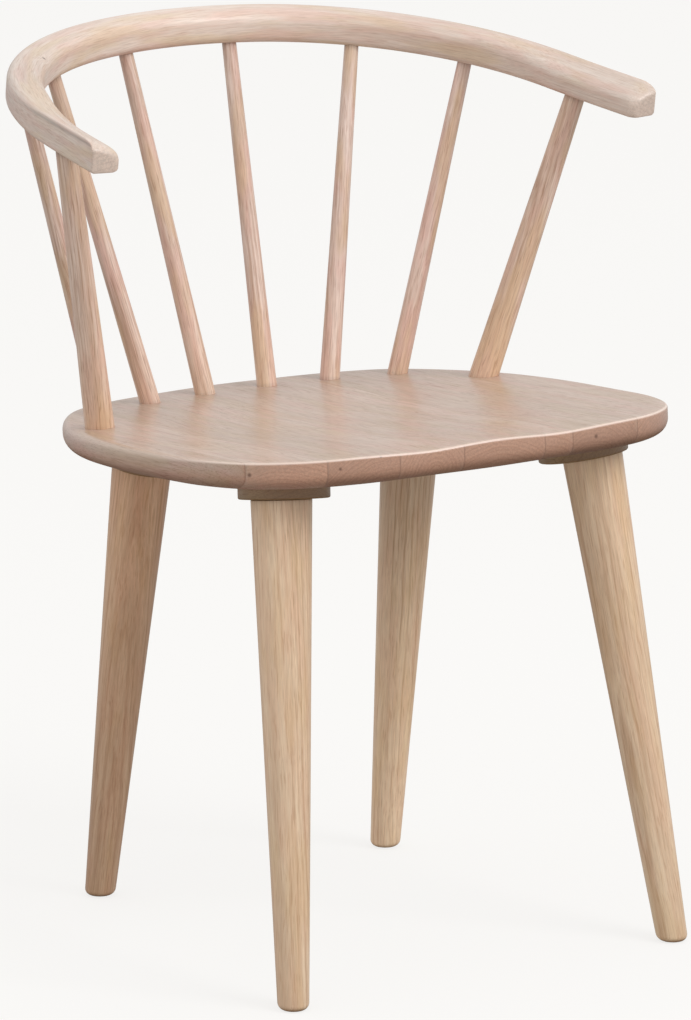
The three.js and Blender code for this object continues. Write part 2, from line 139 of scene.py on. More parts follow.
def loft(name, rings, caps=(True, True)):
    """A closed skin over rings of points in mm, with a flat or fanned face at each end."""
    rings = np.asarray(rings, float)
    count = rings.shape[1]
    points = list(rings.reshape(-1, 3))
    faces = []
    for r in range(len(rings) - 1):
        for i in range(count):
            a, b = r * count + i, r * count + (i + 1) % count
            faces.append((a, b, b + count, a + count))
    for ring, last in zip((0, len(rings) - 1), (False, True)):
        start = ring * count
        if caps[last]:
            face = list(range(start, start + count))
            faces.append(face if last else face[::-1])
        else:
            points.append(rings[ring].mean(0))
            middle = len(points) - 1
            for i in range(count):
                a, b = start + i, start + (i + 1) % count
                faces.append((a, b, middle) if last else (b, a, middle))
    mesh = bpy.data.meshes.new(name)
    mesh.from_pydata([tuple(p * MM) for p in points], [], faces)
    mesh.validate()
    mesh.update()
    return mesh


def smooth(mesh, angle=WOOD_ANGLE):
    mesh.polygons.foreach_set("use_smooth", [True] * len(mesh.polygons))
    mesh.set_sharp_from_angle(angle=math.radians(angle))


def places(mesh):
    """The mesh's vertices in mm."""
    flat = np.zeros(len(mesh.vertices) * 3)
    mesh.vertices.foreach_get("co", flat)
    return flat.reshape(-1, 3) / MM


def circle(count):
    turn = np.arange(count) / count * math.tau
    return np.cos(turn), np.sin(turn)


def square_to(axis):
    """Two directions square to an axis, the first as level with +X as it can be."""
    axis = np.asarray(axis, float)
    first = np.array([1.0, 0, 0]) - axis * axis[0]
    first /= np.linalg.norm(first)
    return first, np.cross(axis, first)


def turned_rings(base, axis, profile, sides):
    """Rings round an axis from (radius, distance) pairs."""
    u, v = square_to(axis)
    c, s = circle(sides)
    return [base + np.outer(c * r, u) + np.outer(s * r, v) + axis * z for r, z in profile]


def quarter(radius, steps):
    """(inset, depth) pairs of a quarter round, from the side to the face."""
    turns = np.linspace(0, QUARTER_TURN, steps)
    return [(radius * (1 - math.cos(t)), radius * (1 - math.sin(t))) for t in turns]


def cut(piece, cutters):
    """Takes the cutters' volumes out of a piece."""
    for mesh in cutters:
        tool = new_object("tool", mesh)
        step = piece.modifiers.new("cut", "BOOLEAN")
        step.operation, step.solver, step.object = "DIFFERENCE", "EXACT", tool
        graph = bpy.context.evaluated_depsgraph_get()
        made = bpy.data.meshes.new_from_object(piece.evaluated_get(graph))
        piece.modifiers.remove(step)
        piece.data = made
        bpy.data.objects.remove(tool)


def slice_off(shape, spot, normal):
    """Cuts a bmesh along a plane, takes off what lies on the normal's side and closes the rest."""
    found = bmesh.ops.bisect_plane(
        shape, geom=shape.verts[:] + shape.edges[:] + shape.faces[:], dist=ON_PLANE,
        plane_co=spot, plane_no=normal, clear_outer=True,
    )
    rim = [part for part in found["geom_cut"] if isinstance(part, bmesh.types.BMEdge)]
    bmesh.ops.edgenet_fill(shape, edges=rim)


def in_frame(matrix, points):
    return points @ matrix[:3, :3].T + matrix[:3, 3]


def out_of_frame(matrix, points):
    return (points - matrix[:3, 3]) @ matrix[:3, :3]


def node_points(name):
    """A CAD node's own points in mm, each once."""
    return np.unique(places(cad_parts[name].data).round(3), axis=0)


def stick_axis(name):
    """A turned CAD node's axis: the middle of its lower end, its direction and its length."""
    points = node_points(name)
    middle = points.mean(0)
    direction = np.linalg.svd(points - middle)[2][0]
    direction *= np.sign(direction[2])
    along = (points - middle) @ direction
    ends = [points[np.abs(along - edge) < ON_FACE].mean(0) for edge in (along.min(), along.max())]
    length = np.linalg.norm(ends[1] - ends[0])
    return ends[0], (ends[1] - ends[0]) / length, length


def off_axis(points, axis):
    """How far points, given from a spot on the axis, lie from it."""
    return np.linalg.norm(points - np.outer(points @ axis, axis), axis=1)


def radius_near(points, base, axis, low, high):
    """The largest radius of the points between two distances along the axis."""
    along = (points - base) @ axis
    return off_axis(points[(along > low) & (along < high)] - base, axis).max()


# ---------------------------------------------------------------- grain and shading, stored point by point

FAR = 500.0  # mm, for a piece with no glued edge
CUT_ACROSS = (0.3, 0.85)  # how square to the fibre a face is where end grain begins, and where it is full
FACING_GLOSS_RANGE = (-0.55, 0.25)  # how far up a face looks where its gloss begins, and where it is full: a painted reflection, the gloss fading on faces that look down
GRAIN_TILT = 0.02
GRAIN_SEED = 11
FAR_ALONG = 900  # mm, how far along the fibre one piece's grain may lie from another's

# The box in mm from which each kind of piece draws its place in the tree.
STICK_ORIGINS = (24, -22, -FAR_ALONG), (60, 22, FAR_ALONG)
BOARD_ORIGINS = (-20, 30, -FAR_ALONG), (20, 75, FAR_ALONG)
LEG_ORIGINS = (20, -30, -FAR_ALONG), (70, 30, FAR_ALONG)
BLOCK_ORIGINS = (-20, 40, -FAR_ALONG), (20, 70, FAR_ALONG)

# Changes of tone that fade out, most of them painted light and shade: how much, over how many mm, and the
# power of the distance.
# Sticks: a painted contact shadow right under the bow and painted shade below it, a painted shadow line
# where they enter the seat, and painted light near the seat with more warmth.
STICK_HEAD_SHADOW_LINE = (-0.3, 1.5, 1)
STICK_HEAD_SHADE = (-0.18, 5, 4)
STICK_FOOT_SHADOW_LINE = (-0.12, 1.2, 1)
STICK_FOOT_LIGHT = (0.11, 70, 2)
STICK_FOOT_WARMTH = (0.2, 70, 2)
BOW_ARRIS_SHADE, BOW_ARRIS_SHADE_DROP = (-0.36, 1.3, 2), 4.2
BOW_MIDDLE_LIGHT = (0.10, 150, 2)
BOW_LEFT_SHADE, BOW_LEFT_SHADE_AT = (-0.07, 60, 2), -260
LEG_TOP_SHADE = (-0.3, 2.5, 1)
LEG_FOOT_SHADE = (-0.3, 2, 2)

# Changes of tone that set in: how much, and from where to where in mm.
SEAT_UNDER_SHADE = (-0.3, 13, 21)
SEAT_BACK_SHADE = (-0.10, 0, 150)
BOW_RIGHT_SHADE = (-0.07, 300, 420)

SPINDLE_TONES = (0.0, 0.08), (0.0, 0.25)
POST_TONE = (0.07, 0.3)
BOARD_TONES = [  # each board's lightness and warmth on top, and the lightness that its front edge adds
    (-0.02, 0.1, 0.0), (0.03, 0.0, 0.08), (-0.03, 0.2, -0.05), (0.02, 0.05, -0.08),
    (0.0, 0.12, -0.06), (0.035, 0.0, -0.14), (-0.035, 0.2, -0.18), (0.0, 0.1, -0.12),
]
SEAT_SIDE_FROM, SEAT_SIDE_TO, SEAT_SIDE_WARMTH = 0.8, 14, -0.45
# A pale line along the seat's top arris, partly wear and partly a painted highlight.
SEAT_ARRIS_LINE_AT, SEAT_ARRIS_LINE_HEIGHT, SEAT_ARRIS_LINE_WIDTH = 0.3, 0.36, 0.6  # as shares of the arris
# A pale line along the arm's crease, partly wear and partly a painted highlight.
BOW_ARRIS_LINE_INSET, BOW_ARRIS_LINE_DROP, BOW_ARRIS_LINE_REACH = 0.6, 1.2, 1.1
BOW_SIDE_FROM, BOW_SIDE_TO = 0.6, 0.1  # mm in from the arm's outer side
BOW_SIDE_LIGHT = 0.03
BOW_GRAIN_OFFSET, BOW_GRAIN_TILT = (12, 58, 340), (0.012, -0.02)
# Painted light and shade from foot to top: the back right leg darkens towards its top as painted shade under
# the seat, the back left leg's top gets painted light against the seat's shade, and the front legs lighten a
# little towards their tops.
LEG_TONES = {  # lightness at the foot and at the top, and warmth
    "front_left": (-0.03, 0.08, 0.0),
    "front_right": (-0.02, 0.1, 0.0),
    "back_left": (-0.25, 0.12, -0.45),
    "back_right": (0.14, -0.2, 0.0),
}
LEG_TILTS = {"back_left": (0.04, 0.06)}
LEG_TILT = (0.03, 0.015)
LEG_HEARTS = {"back_left": (23.0, 37.0)}  # where the tree's middle lies off a leg's axis, if not at random
BLOCK_TILT = (0.05, 0.02)
BLOCK_LEAST_WARMTH = -0.2
BLOCK_RIM_SHADE, BLOCK_RIM_WIDTH, BLOCK_RIM_HEIGHT = -0.3, 3, 2.5


def smoothstep(value, low, high):
    share = np.clip((value - low) / (high - low), 0, 1)
    return share * share * (3 - 2 * share)


def fade(distance, amount, reach, power=2):
    return amount * np.exp(-((np.abs(distance) / reach) ** power))


def onset(value, amount, low, high):
    return amount * smoothstep(value, low, high)


def paint(piece, along, place, tone, fibre, offset, tilt, seam=None):
    """Stores what the wood's nodes read at each point: its grain coordinates, its place on the piece, its
    tone with its painted light, shade and highlight, how far it is cut across the fibre, how far off the
    next glued joint is and its facing gloss, a painted reflection that fades on faces that look down."""
    grain = along + np.asarray(offset, float)
    grain[:, 0] += tilt[0] * grain[:, 2]
    grain[:, 1] += tilt[1] * grain[:, 2]
    for key, values in (("grain", grain * MM), ("place", place * MM), ("tone", tone)):
        layer = piece.data.attributes.new(key, "FLOAT_VECTOR", "POINT")
        layer.data.foreach_set("vector", np.asarray(values, np.float32).ravel())
    facing = np.zeros(len(along) * 3)
    piece.data.vertices.foreach_get("normal", facing)
    across = np.abs((facing.reshape(-1, 3) * np.asarray(fibre)).sum(1))
    seam = np.full(len(along), FAR) if seam is None else seam
    facing_gloss = smoothstep(facing[2::3], *FACING_GLOSS_RANGE)
    end = smoothstep(across, *CUT_ACROSS)
    for key, values in (("end", end), ("seam", seam * MM), ("facing_gloss", facing_gloss)):
        layer = piece.data.attributes.new(key, "FLOAT", "POINT")
        layer.data.foreach_set("value", np.asarray(values, np.float32))


# A point's lightness, warmth and pale arris line: the lightness carries painted light and shade as well as
# the wood's own tone, and the arris line is partly wear and partly a painted highlight.
def tones(count, light=0.0, warm=0.0, wear_and_highlight=0.0):
    tone = np.zeros((count, 3))
    tone[:, 0], tone[:, 1], tone[:, 2] = light, warm, wear_and_highlight
    return tone


# ---------------------------------------------------------------- node helpers


class Tree:
    """A material's node tree with short calls for the nodes that wood needs."""

    def __init__(self, name):
        self.material = bpy.data.materials.new(name)
        self.material.use_nodes = True
        self.tree = self.material.node_tree
        self.shader = self.tree.nodes["Principled BSDF"]

    def add(self, kind, inputs=(), **settings):
        node = self.tree.nodes.new("ShaderNode" + kind)
        for key, value in settings.items():
            setattr(node, key, value)
        for key, value in dict(inputs).items():
            self.feed(node.inputs[key], value)
        return node

    def feed(self, socket, value):
        if isinstance(value, bpy.types.NodeSocket):
            self.tree.links.new(value, socket)
        else:
            socket.default_value = value

    def math(self, operation, a, b=0.0):
        return self.add("Math", {0: a, 1: b}, operation=operation).outputs[0]

    def total(self, first, *shares):
        """The first value and each further (value, share of it) pair, added up."""
        for value, share in shares:
            first = self.math("ADD", first, self.math("MULTIPLY", value, share))
        return first

    def vector(self, operation, a, b=(0, 0, 0)):
        node = self.add("VectorMath", {0: a, 1: b}, operation=operation)
        return node.outputs["Value" if operation in ("LENGTH", "DISTANCE") else "Vector"]

    def stretched(self, vector, scale):
        return self.vector("MULTIPLY", vector, scale)

    def even(self, value):
        """The same value along all three axes."""
        return self.joined(value, value, value)

    def noise(self, vector, scale, detail, roughness, output="Fac"):
        """Noise whose scale is given along each axis, in repeats per metre."""
        spots = self.stretched(vector, scale)
        inputs = {"Vector": spots, "Scale": 1.0, "Detail": detail, "Roughness": roughness}
        return self.add("TexNoise", inputs).outputs[output]

    def remap(self, value, low, high, to_low=0.0, to_high=1.0):
        inputs = {"Value": value, "From Min": low, "From Max": high, "To Min": to_low, "To Max": to_high}
        return self.add("MapRange", inputs, interpolation_type="SMOOTHSTEP").outputs["Result"]

    def mix(self, share, a, b, blend="MIX"):
        node = self.add("Mix", data_type="RGBA", blend_type=blend)
        for name, value in (("Factor_Float", share), ("A_Color", a), ("B_Color", b)):
            self.feed(next(s for s in node.inputs if s.identifier == name), value)
        return next(s for s in node.outputs if s.identifier == "Result_Color")

    def parts(self, vector):
        return self.add("SeparateXYZ", {"Vector": vector}).outputs

    def joined(self, x, y, z):
        return self.add("CombineXYZ", {0: x, 1: y, 2: z}).outputs[0]

    def stored(self, name, output="Vector"):
        return self.add("Attribute", attribute_name=name).outputs[output]


def rgb(red, green, blue):
    """A colour given in 0-255 screen values, as a shader wants it."""
    linear = [((c / 255 + 0.055) / 1.055) ** 2.4 for c in (red, green, blue)]
    return (*linear, 1.0)


# ---------------------------------------------------------------- wood

# The patterns: repeats per metre, twice across the fibre and once along it, then detail and roughness.
DRIFT_NOISE, RIPPLE_NOISE = ((9, 9, 3.2), 1.0, 0.4), ((45, 45, 16), 1.0, 0.5)
STREAK_NOISE = ((520, 520, 22), 3.0, 0.6)
FIBRE_NOISE = ((1900, 1900, 70), 2.0, 0.6)
VESSEL_NOISE = ((1150, 1150, 42), 1.0, 0.45)
PATCH_NOISE = ((85, 85, 15), 2.0, 0.5)
WASH_NOISE, WASH_SHIFT = ((60, 60, 12), 2.0, 0.5), (0.7, 0.3, 0.9)
# The same, but first out from the tree's middle, and the rings' own repeats are a wood's own.
BAND_NOISE = ((110, 1, 2.2), 2.0, 0.55)
RING_STRETCH, RING_DETAIL = 7, (2.0, 0.55)

# Where a pattern sets in and where it is full, and for a shade its two values there.
FIGURE_RANGE = (0.78, 1.24)
PATCH_RANGE, WASH_RANGE = (0.42, 0.64), (0.46, 0.66)
FLECK_RANGE = (0.55, 0.68)
LATEWOOD_RANGE, LATEWOOD_BREAKS = (0.2, 1.0), (0.35, 0.6)
SPECKLE_SHADES = (0.55, 0.95, 0.86, 1.08)
THREAD_SHADES = (0.35, 0.65, 0.93, 1.05)

NOISE_MIDDLE = (0.5, 0.5, 0.5)
DRIFT_REACH, RIPPLE_REACH = (0.016, 0.016, 0.0), (0.0035, 0.0035, 0.0)  # metres
KNOT_CORE, KNOT_SWELL_REACH, KNOT_SWELL = 0.25, 6, 1.1  # in radii of the knot
BAND_SHARE, RING_SHARE, STREAK_SHARE, SPECKLE_RINGS = 0.8, 0.75, 0.45, 0.5
LINE_WAVER = 9.0  # how far the broad bands push the growth rings' lines, in radians
END_SHARE, WEAR_AND_HIGHLIGHT_SHARE, KNOT_SHARE = 0.9, 0.75, 0.75
END_LINES = 0.12
SEAM_FAINT, SEAM_AT_END, SEAM_OUTER, SEAM_INNER = 0.10, 0.25, 0.0011, 0.0003
COOL_TINT, WEAR_AND_HIGHLIGHT_COLOUR = rgb(235, 200, 180), rgb(250, 232, 220)
SEAM_COLOUR, KNOT_COLOUR = rgb(120, 86, 70), rgb(92, 62, 46)
SMOOTHER, RING_ROUGHNESS, FLECK_ROUGHNESS, STREAK_ROUGHNESS = 0.05, 0.06, 0.12, 0.06
SPECULAR, COAT_ROUGHNESS = 0.5, 0.27
FIBRE_HEIGHT, FLECK_DEPTH, RING_HEIGHT = 0.4, 0.8, 0.5
BUMP_STRENGTH, BUMP_DISTANCE = 0.12, 0.0002


def strayed(t, grain, place, knots):
    """The grain coordinates with the fibre's drift, pushed aside round each knot, and the knots' mask."""
    drift = t.noise(grain, *DRIFT_NOISE, "Color")
    drift = t.stretched(t.vector("SUBTRACT", drift, NOISE_MIDDLE), DRIFT_REACH)
    ripple = t.noise(grain, *RIPPLE_NOISE, "Color")
    ripple = t.stretched(t.vector("SUBTRACT", ripple, NOISE_MIDDLE), RIPPLE_REACH)
    drift = t.vector("ADD", drift, ripple)
    knot_mask = 0.0
    for centre, radius in knots:
        away = t.vector("DISTANCE", place, tuple(c * MM for c in centre))
        mask = t.remap(away, radius * MM, KNOT_CORE * radius * MM)
        swell = t.remap(away, KNOT_SWELL_REACH * radius * MM, 0.0, 0.0, KNOT_SWELL * radius * MM)
        drift = t.vector("ADD", drift, t.joined(swell, swell, 0.0))
        knot_mask = t.math("MAXIMUM", knot_mask, mask)
    return t.vector("ADD", grain, drift), knot_mask


def wood(
    name, light, dark, pink, ochre, cut_end, figure, tinting, roughness, vessels,
    coat=0.3, rings_per_metre=280, lines=0.1, knots=(),
):
    """Limed wood under satin lacquer. The fibre runs along the third stored coordinate, and the tree's rings
    stand round the line where the first two are zero."""
    t = Tree(name)
    grain, place = t.stored("grain"), t.stored("place")
    lightness, warmth, wear_and_highlight = t.parts(t.stored("tone"))
    end, seam, facing_gloss = (t.stored(key, "Fac") for key in ("end", "seam", "facing_gloss"))

    bent, knot_mask = strayed(t, grain, place, knots)
    x, y, z = t.parts(bent)
    reach = t.vector("LENGTH", t.joined(x, y, 0.0))
    out = t.joined(reach, 0.0, z)
    bands = t.noise(out, *BAND_NOISE)
    rings = t.noise(out, (2 * rings_per_metre, 1, RING_STRETCH), *RING_DETAIL)
    streaks = t.noise(bent, *STREAK_NOISE)
    fibre = t.noise(grain, *FIBRE_NOISE)
    dashes = t.noise(bent, *VESSEL_NOISE)
    patches = t.noise(grain, *PATCH_NOISE)
    washes = t.noise(t.vector("ADD", grain, WASH_SHIFT), *WASH_NOISE)

    pattern = t.total(0.0, (bands, BAND_SHARE), (rings, RING_SHARE), (streaks, STREAK_SHARE))
    colour = t.mix(t.remap(pattern, *FIGURE_RANGE, 0.0, figure), light, dark)
    colour = t.mix(t.remap(patches, *PATCH_RANGE, 0.0, tinting), colour, pink)
    colour = t.mix(t.remap(washes, *WASH_RANGE, 0.0, tinting), colour, ochre)
    colour = t.mix(t.remap(warmth, 0.0, 1.0), colour, ochre)
    colour = t.mix(t.remap(warmth, 0.0, -1.0), colour, COOL_TINT, "MULTIPLY")

    fleck = t.remap(dashes, *FLECK_RANGE)
    colour = t.mix(t.math("MULTIPLY", fleck, vessels), colour, dark, "MULTIPLY")
    speckle = t.remap(t.total(streaks, (rings, SPECKLE_RINGS)), *SPECKLE_SHADES)
    end_colour = t.vector("MULTIPLY", cut_end[:3], t.even(speckle))
    colour = t.mix(t.math("MULTIPLY", end, END_SHARE), colour, end_colour)

    swing = t.total(0.0, (reach, math.tau * rings_per_metre), (bands, LINE_WAVER))
    crests = t.remap(t.math("SINE", swing), *LATEWOOD_RANGE)
    latewood = t.math("MULTIPLY", crests, t.remap(rings, *LATEWOOD_BREAKS))
    lined = t.math("MULTIPLY", latewood, t.total(lines, (end, END_LINES)))
    colour = t.mix(lined, colour, dark, "MULTIPLY")
    thread = t.remap(fibre, *THREAD_SHADES)
    # The stored lightness brings in painted light and shade along with the piece's own tone.
    shade = t.math("MULTIPLY", thread, t.math("ADD", 1.0, lightness))
    colour = t.vector("MULTIPLY", colour, t.even(shade))

    near_seam = t.remap(seam, SEAM_OUTER, SEAM_INNER)
    line = t.math("MULTIPLY", near_seam, t.total(SEAM_FAINT, (end, SEAM_AT_END)))
    colour = t.mix(line, colour, SEAM_COLOUR)
    if knots:
        colour = t.mix(t.math("MULTIPLY", knot_mask, KNOT_SHARE), colour, KNOT_COLOUR)
    # A pale line along the arrises, partly wear and partly a painted highlight.
    colour = t.mix(t.math("MULTIPLY", wear_and_highlight, WEAR_AND_HIGHLIGHT_SHARE), colour, WEAR_AND_HIGHLIGHT_COLOUR)
    t.feed(t.shader.inputs["Base Color"], colour)

    gloss = (rings, RING_ROUGHNESS), (fleck, FLECK_ROUGHNESS), (streaks, STREAK_ROUGHNESS)
    t.feed(t.shader.inputs["Roughness"], t.total(roughness - SMOOTHER, *gloss))
    # Painted reflection: specular and coat follow the facing gloss, so faces that look down reflect less.
    t.feed(t.shader.inputs["Specular IOR Level"], t.math("MULTIPLY", facing_gloss, SPECULAR))
    t.feed(t.shader.inputs["Coat Weight"], t.math("MULTIPLY", facing_gloss, coat))
    t.shader.inputs["Coat Roughness"].default_value = COAT_ROUGHNESS
    height = t.total(0.0, (fibre, FIBRE_HEIGHT), (fleck, -FLECK_DEPTH), (rings, RING_HEIGHT))
    bump = t.add("Bump", {"Height": height, "Strength": BUMP_STRENGTH, "Distance": BUMP_DISTANCE})
    t.feed(t.shader.inputs["Normal"], bump.outputs["Normal"])
    return t.material


# Each knot's place on its piece and its radius, in mm.
SEAT_KNOTS = [
    ((-211, -214, -10), 2.6), ((-148, -256, -8), 2.2), ((-112, -262, -1), 1.8), ((103, -263, -9), 2.6),
]
BOW_KNOTS = [((-10, 28, -211), 2.4)]
SEAT_WOOD = wood(
    "seat_wood", light=rgb(207, 183, 166), dark=rgb(176, 143, 122), pink=rgb(206, 167, 152),
    ochre=rgb(193, 168, 139), cut_end=rgb(192, 148, 124),
    figure=0.36, tinting=0.5, roughness=0.37, vessels=0.32, coat=0.55, knots=SEAT_KNOTS,
)
BOW_WOOD = wood(
    "bow_wood", light=rgb(232, 216, 204), dark=rgb(200, 170, 150), pink=rgb(222, 186, 172),
    ochre=rgb(217, 193, 160), cut_end=rgb(222, 202, 188),
    figure=0.42, tinting=0.5, roughness=0.38, vessels=0.26, lines=0.05, knots=BOW_KNOTS,
)
SPINDLE_WOOD = wood(
    "spindle_wood", light=rgb(236, 215, 203), dark=rgb(188, 154, 134), pink=rgb(222, 183, 170),
    ochre=rgb(214, 184, 150), cut_end=rgb(180, 144, 118),
    figure=0.8, tinting=0.65, roughness=0.38, vessels=0.4, lines=0.2,
)
LEG_WOOD = wood(
    "leg_wood", light=rgb(240, 212, 180), dark=rgb(198, 161, 129), pink=rgb(230, 190, 158),
    ochre=rgb(222, 188, 144), cut_end=rgb(170, 136, 106),
    figure=0.6, tinting=0.4, roughness=0.4, vessels=0.3, rings_per_metre=190, lines=0.28,
)
BLOCK_WOOD = wood(
    "block_wood", light=rgb(188, 158, 122), dark=rgb(150, 116, 82), pink=rgb(176, 140, 106),
    ochre=rgb(170, 138, 96), cut_end=rgb(160, 126, 92),
    figure=0.6, tinting=0.4, roughness=0.42, vessels=0.35,
)

# ---------------------------------------------------------------- steel

STEEL_DARK, STEEL_LIGHT = rgb(176, 178, 180), rgb(206, 206, 203)
STEEL_SPANGLE = ((900, 900, 900), 3.0, 0.6)
STEEL_ROUGHNESS = (0.3, 0.7, 0.26, 0.42)
STEEL_BUMP_STRENGTH, STEEL_BUMP_DISTANCE = 0.1, 0.0001


def steel(name):
    """Zinc-plated steel with a fine spangle."""
    t = Tree(name)
    spots = t.add("TexCoord").outputs["Object"]
    grey = t.noise(spots, *STEEL_SPANGLE)
    t.feed(t.shader.inputs["Base Color"], t.mix(grey, STEEL_DARK, STEEL_LIGHT))
    t.feed(t.shader.inputs["Roughness"], t.remap(grey, *STEEL_ROUGHNESS))
    t.shader.inputs["Metallic"].default_value = 1.0
    bump = t.add("Bump", {"Height": grey, "Strength": STEEL_BUMP_STRENGTH, "Distance": STEEL_BUMP_DISTANCE})
    t.feed(t.shader.inputs["Normal"], bump.outputs["Normal"])
    return t.material


STEEL = steel("zinc_steel")


def finished(piece, node, material):
    """Gives a piece its material and slot, and lets it stand for its CAD node, inside the CAD's own box."""
    spots = np.clip(places(piece.data) * MM, cad_low, cad_high)
    piece.data.vertices.foreach_set("co", spots.ravel())
    piece.data.update()
    piece.data.materials.clear()
    piece.data.materials.append(material)
    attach(piece, "root")
    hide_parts(node)


# ---------------------------------------------------------------- posts and spindles

random = np.random.default_rng(GRAIN_SEED)


def paint_stick(piece, name, base, axis, span):
    u, v = square_to(axis)
    local = places(piece.data) - base
    along = np.stack([local @ u, local @ v, local @ axis], 1)
    offset = random.uniform(*STICK_ORIGINS)
    light, warm = (random.uniform(*limits) for limits in SPINDLE_TONES)
    if name.startswith("arm_post"):
        light, warm = POST_TONE
    # Painted shade under the bow and at the seat, and painted light near the seat.
    reach = along[:, 2] - TENON
    head_gap = np.clip(span - reach, 0, None)
    light = light + fade(head_gap, *STICK_HEAD_SHADOW_LINE) + fade(head_gap, *STICK_HEAD_SHADE)
    light = light + fade(np.clip(reach, 0, None), *STICK_FOOT_SHADOW_LINE) + fade(reach, *STICK_FOOT_LIGHT)
    warm = warm + fade(reach, *STICK_FOOT_WARMTH)
    tilt = random.uniform(-GRAIN_TILT, GRAIN_TILT, 2)
    paint(piece, along, along, tones(len(local), light, warm), axis, offset, tilt)


def make_stick(name):
    """A post or spindle with a tenon at each end. Gives the cutters of its two sockets, seat first."""
    base, axis, length = stick_axis(name)
    points = node_points(name)
    foot = radius_near(points, base, axis, TENON_BEVEL / 2, TENON + 1)
    head = radius_near(points, base, axis, length - TENON - 1, length - TENON_BEVEL / 2)
    span = length - 2 * TENON
    stops = [*LOW_STOPS, *np.linspace(STOP_MARGIN, span - STOP_MARGIN, MIDDLE_STOPS)]
    stops += [span - gap for gap in HIGH_STOPS]
    bevels = quarter(TENON_BEVEL, BEVEL_STEPS)
    profile = [(foot - inset, depth) for inset, depth in bevels[::-1]]
    profile += [(foot, TENON)]
    profile += [(foot + (head - foot) * z / span, TENON + z) for z in stops]
    profile += [(head - inset, length - depth) for inset, depth in bevels]
    piece = new_object(name + "_turned", loft(name, turned_rings(base, axis, profile, STICK_SIDES)))
    smooth(piece.data)
    paint_stick(piece, name, base, axis, span)
    finished(piece, name, SPINDLE_WOOD)
    below = [(foot + GAP, -GAP), (foot + GAP, TENON + SOCKET_OVERRUN)]
    above = [(head + GAP, length - TENON - SOCKET_OVERRUN), (head + GAP, length + GAP)]
    return [loft("socket", turned_rings(base, axis, run, STICK_SIDES)) for run in (below, above)]


foot_cutters, head_cutters = zip(*[make_stick(name) for name in STICKS])

# ---------------------------------------------------------------- seat

seat_frame = np.array(Matrix.Translation((0, 0, SEAT_HEIGHT)) @ Matrix.Rotation(-SEAT_SLOPE, 4, "X"))


def dish(x, y):
    """How far the sitting surface lies below the flat seat."""
    bowl = np.maximum(0, 1 - (x / DISH_REACH[0]) ** 2 - ((y - DISH_MIDDLE_Y) / DISH_REACH[1]) ** 2)
    hollow = np.exp(-(((np.abs(x) - HOLLOW_X) / HOLLOW_WIDTH) ** 2))
    rise = np.exp(-((x / FRONT_RISE_WIDTH) ** 4))
    run = smoothstep(SEAT_OUTLINE[-1][1] + HOLLOW_REACH - y, 0, HOLLOW_REACH)
    return DISH_DEPTH * smoothstep(bowl, 0, 1) + (HOLLOW_DEPTH * hollow - FRONT_RISE * rise) * run


def outline_curve(points, per_span=40):
    """A closed centripetal Catmull-Rom curve through the points, counter-clockwise."""
    points = np.array(points, float)
    count = len(points)
    spots = []
    for i in range(count):
        p0, p1, p2, p3 = (points[(i + k) % count] for k in (-1, 0, 1, 2))
        d0, d1, d2 = (math.sqrt(np.linalg.norm(b - a)) for a, b in ((p0, p1), (p1, p2), (p2, p3)))
        t1 = ((p1 - p0) / d0 - (p2 - p0) / (d0 + d1) + (p2 - p1) / d1) * d1
        t2 = ((p2 - p1) / d1 - (p3 - p1) / (d1 + d2) + (p3 - p2) / d2) * d1
        for s in np.arange(per_span) / per_span:
            cubic = (2 * p1 - 2 * p2 + t1 + t2) * s**3 + (3 * p2 - 3 * p1 - 2 * t1 - t2) * s**2
            spots.append(cubic + t1 * s + p1)
    return np.array(spots)


def evenly(spots, count):
    """The same closed curve with evenly spaced points."""
    closed = np.vstack([spots, spots[:1]])
    run = np.concatenate([[0], np.cumsum(np.linalg.norm(np.diff(closed, axis=0), axis=1))])
    wanted = np.arange(count) / count * run[-1]
    return np.stack([np.interp(wanted, run, closed[:, k]) for k in (0, 1)], 1)


left_half = [(-x, y) for x, y in SEAT_OUTLINE]
right_half = [(x, y) for x, y in SEAT_OUTLINE[1:-1]][::-1]
edge = evenly(outline_curve(left_half + right_half), SEAT_SIDES)
tangent = np.roll(edge, -1, 0) - np.roll(edge, 1, 0)
outward = np.stack([tangent[:, 1], -tangent[:, 0]], 1)
outward /= np.linalg.norm(outward, axis=1)[:, None]
arris = ARRIS_FRONT + (ARRIS_BACK - ARRIS_FRONT) * smoothstep(edge[:, 1], ARRIS_FROM, ARRIS_TO)


def seat_ring(inset, depth, shrink=0.0, dished=False):
    ring = edge - outward * np.reshape(inset, (-1, 1))
    ring = ring + (np.array([0, SEAT_CENTRE_Y]) - ring) * shrink
    low = depth + (dish(ring[:, 0], ring[:, 1]) if dished else 0)
    return np.stack([ring[:, 0], ring[:, 1], -low + np.zeros(len(ring))], 1)


def seat_blank():
    """The whole seat before it is parted into boards, from its underside round the edge to its middle."""
    rings = []
    for turn in np.linspace(QUARTER_TURN, 0, BELLY_STEPS):
        low = SEAT_BELLY + (SEAT_THICKNESS - SEAT_BELLY) * math.sin(turn)
        rings.append(seat_ring(SEAT_UNDERCUT * (1 - math.cos(turn)), low))
    for turn in np.linspace(0, QUARTER_TURN, ARRIS_STEPS):
        rings.append(seat_ring(arris * (1 - math.cos(turn)), arris * (1 - math.sin(turn)), dished=True))
    rings += [seat_ring(arris, 0, shrink, dished=True) for shrink in SEAT_SHRINKS]
    return loft("seat", [in_frame(seat_frame, ring) for ring in rings], (True, False))


def board_between(blank, name, low, high):
    """The part of the seat between two upright planes, closed on both sides."""
    shape = bmesh.new()
    shape.from_mesh(blank)
    for x, side in ((low, -1), (high, 1)):
        if abs(x) < SEAT_REACH:
            slice_off(shape, ((x - side * BOARD_SETBACK) * MM, 0, 0), (side, 0, 0))
    bmesh.ops.recalc_face_normals(shape, faces=shape.faces[:])
    mesh = bpy.data.meshes.new(name)
    shape.to_mesh(mesh)
    shape.free()
    return mesh


